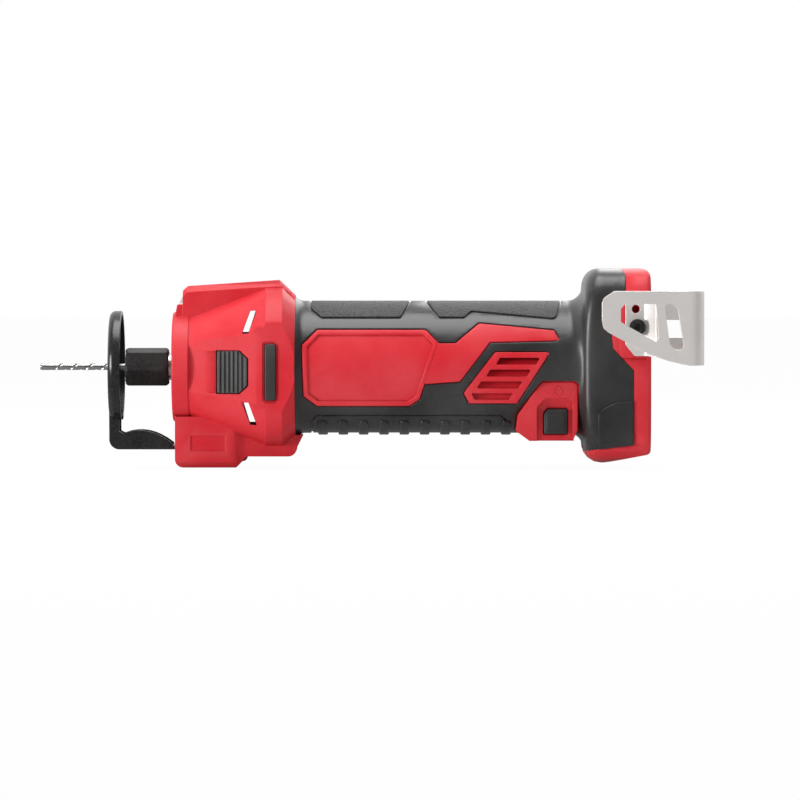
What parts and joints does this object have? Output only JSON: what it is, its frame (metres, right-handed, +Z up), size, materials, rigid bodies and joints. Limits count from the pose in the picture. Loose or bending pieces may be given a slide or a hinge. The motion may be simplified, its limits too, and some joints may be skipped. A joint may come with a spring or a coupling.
{
  "type": "drywall cut out tool",
  "caption": "Cordless drywall cut out tool: spiral bit in a hex collet, sliding depth guide, round rubber grip and a flared foot with a battery slide and a belt hook.",
  "frame": {"origin": "on the spindle axis, at the depth guide's front face, with the guide pushed right back", "axes": "+X along the spindle towards the battery foot, +Z up towards the hood, -Y the side with the buttons and the belt hook"},
  "size_m": [0.3226, 0.0956, 0.0973],
  "materials": {
    "red_plastic": "moulded red plastic, fine spark texture",
    "grip_rubber": "matt charcoal thermoplastic rubber",
    "black_plastic": "matt black moulded plastic",
    "dark_plastic": "satin dark grey moulded plastic",
    "bright_steel": "ground and turned steel",
    "black_steel": "gloss black painted sheet steel",
    "blackened_steel": "blackened steel",
    "nickel_plate": "nickel plated sheet steel",
    "copper": "bare and enamelled copper",
    "iron": "pressed and laminated iron",
    "carbon": "pressed carbon",
    "circuit_board": "potted green board",
    "clear_lens": "clear moulded lens",
    "red_lead": "red insulated wire",
    "black_lead": "black insulated wire"
  },
  "bodies": {
    "housing": {"nose_housing": "red_plastic", "work_light_lens": "clear_lens", "work_light_board": "circuit_board", "side_bumpers": "grip_rubber", "lock_spring": "bright_steel", "left_shell": "red_plastic", "right_shell": "red_plastic", "left_overmould": "grip_rubber", "right_overmould": "grip_rubber", "shell_screws": "bright_steel", "button_spring": "bright_steel", "switch_module": "black_plastic", "control_board": "circuit_board", "terminal_block": "black_plastic", "battery_contacts": "copper", "battery_leads": "red_lead", "motor_leads": "black_lead", "belt_hook": "nickel_plate", "hook_screw": "blackened_steel", "motor_can": "blackened_steel", "motor_magnets": "iron", "brush_card": "black_plastic", "carbon_brushes": "carbon", "brush_springs": "bright_steel", "front_bearing_outer": "bright_steel", "front_bearing_balls": "bright_steel", "rear_bearing_outer": "bright_steel", "rear_bearing_balls": "bright_steel", "rear_bearing_seat": "grip_rubber"},
    "rotor": {"cutting_bit": "bright_steel", "collet_nut": "blackened_steel", "collet": "bright_steel", "spindle_shaft": "bright_steel", "lock_ring": "bright_steel", "cooling_fan": "dark_plastic", "armature_core": "iron", "armature_windings": "copper", "commutator": "copper", "front_bearing_inner": "bright_steel", "rear_bearing_inner": "bright_steel"},
    "depth_guide": {"depth_guide": "black_steel"},
    "clamp": {"clamp_lever": "black_plastic", "clamp_shaft": "bright_steel"},
    "lock_button": {"lock_button": "dark_plastic", "lock_pin": "bright_steel"},
    "push_button": {"push_button": "black_plastic"}
  },
  "joints": [
    {"name": "spindle_spin", "type": "hinge", "parent": "housing", "child": "rotor", "pos_m": [0, 0, 0], "axis": [1, 0, 0], "continuous": true},
    {"name": "spindle_lock_press", "type": "slide", "parent": "housing", "child": "lock_button", "axis": [0, 1, 0], "range_m": [0, 0.003], "stiffness_N_per_m": 600, "springref_m": -0.0015, "deforming": ["lock_spring"]},
    {"name": "on_off_press", "type": "slide", "parent": "housing", "child": "push_button", "axis": [0, 1, 0], "range_m": [0, 0.0025], "stiffness_N_per_m": 500, "springref_m": -0.0015, "deforming": ["button_spring"]},
    {"name": "depth_guide_slide", "type": "slide", "parent": "housing", "child": "depth_guide", "axis": [-1, 0, 0], "range_m": [0, 0.02]},
    {"name": "clamp_lever_swing", "type": "hinge", "parent": "housing", "child": "clamp", "pos_m": [0.048, 0, -0.0443], "axis": [0, 1, 0], "range_deg": [0, 90]}
  ]
}
